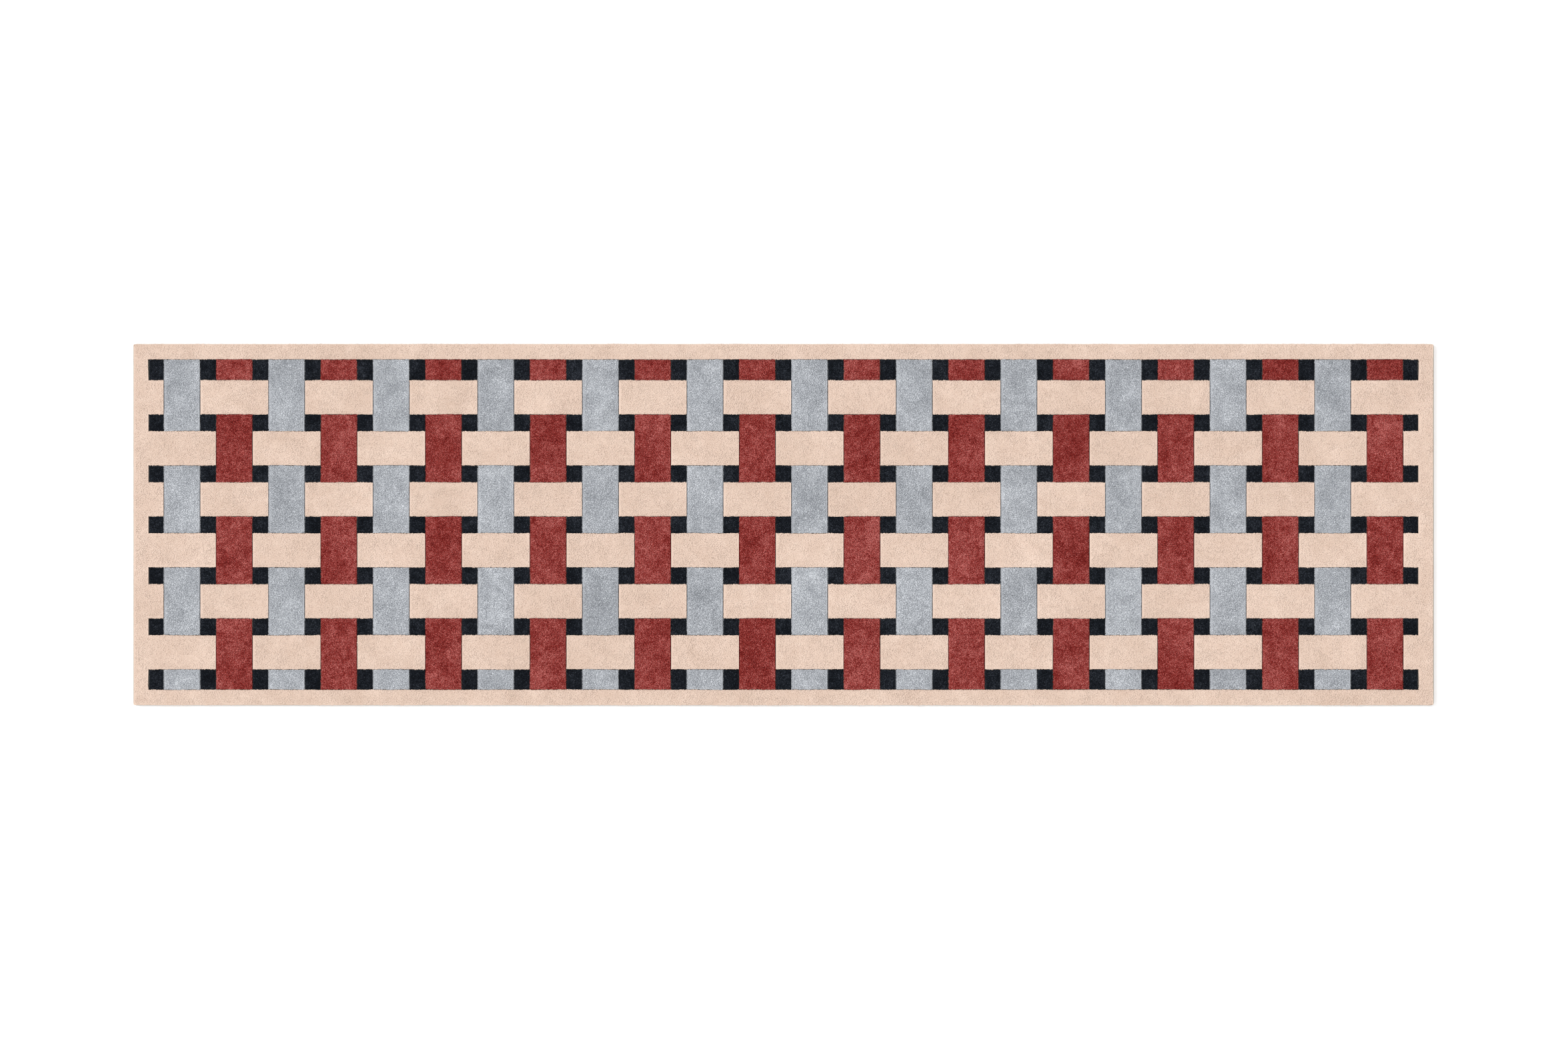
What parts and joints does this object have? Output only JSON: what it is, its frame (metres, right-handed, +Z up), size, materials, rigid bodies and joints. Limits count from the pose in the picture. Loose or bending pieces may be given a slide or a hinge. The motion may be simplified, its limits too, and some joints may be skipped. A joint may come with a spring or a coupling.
{
  "type": "runner rug",
  "caption": "Long, low tufted runner rug; its cut pile is carved into a basket weave of grey and red strips and cream bands with dark squares between, on a taped canvas back.",
  "frame": {"origin": "middle of the underside, on the floor", "axes": "+X along the rug's length, +Y across its width, +Z up out of the pile"},
  "size_m": [2.743, 0.762, 0.0143],
  "materials": {
    "cream_pile": "matte",
    "grey_pile": "matte",
    "red_pile": "matte",
    "dark_pile": "matte",
    "primary_cloth": "matte",
    "latex": "satin",
    "scrim": "matte",
    "canvas": "matte",
    "hem_tape": "matte",
    "hem_thread": "matte"
  },
  "bodies": {
    "root": {"grey_strip_01": "grey_pile", "grey_strip_02": "grey_pile", "grey_strip_03": "grey_pile", "grey_strip_04": "grey_pile", "grey_strip_05": "grey_pile", "grey_strip_06": "grey_pile", "grey_strip_07": "grey_pile", "grey_strip_08": "grey_pile", "grey_strip_09": "grey_pile", "grey_strip_10": "grey_pile", "grey_strip_11": "grey_pile", "grey_strip_12": "grey_pile", "red_strip_01": "red_pile", "red_strip_02": "red_pile", "red_strip_03": "red_pile", "red_strip_04": "red_pile", "red_strip_05": "red_pile", "red_strip_06": "red_pile", "red_strip_07": "red_pile", "red_strip_08": "red_pile", "red_strip_09": "red_pile", "red_strip_10": "red_pile", "red_strip_11": "red_pile", "red_strip_12": "red_pile", "cream_band_1": "cream_pile", "cream_band_2": "cream_pile", "cream_band_3": "cream_pile", "cream_band_4": "cream_pile", "cream_band_5": "cream_pile", "cream_band_6": "cream_pile", "dark_row_1": "dark_pile", "dark_row_2": "dark_pile", "dark_row_3": "dark_pile", "dark_row_4": "dark_pile", "dark_row_5": "dark_pile", "dark_row_6": "dark_pile", "dark_row_7": "dark_pile", "cream_border_back": "cream_pile", "cream_border_front": "cream_pile", "cream_border_left": "cream_pile", "cream_border_right": "cream_pile", "primary_cloth": "primary_cloth", "latex_precoat": "latex", "latex_glue_coat": "latex", "scrim": "scrim", "backing_canvas": "canvas", "hem_tape_back": "hem_tape", "hem_tape_front": "hem_tape", "hem_tape_left": "hem_tape", "hem_tape_right": "hem_tape", "hem_thread": "hem_thread"}
  },
  "joints": []
}
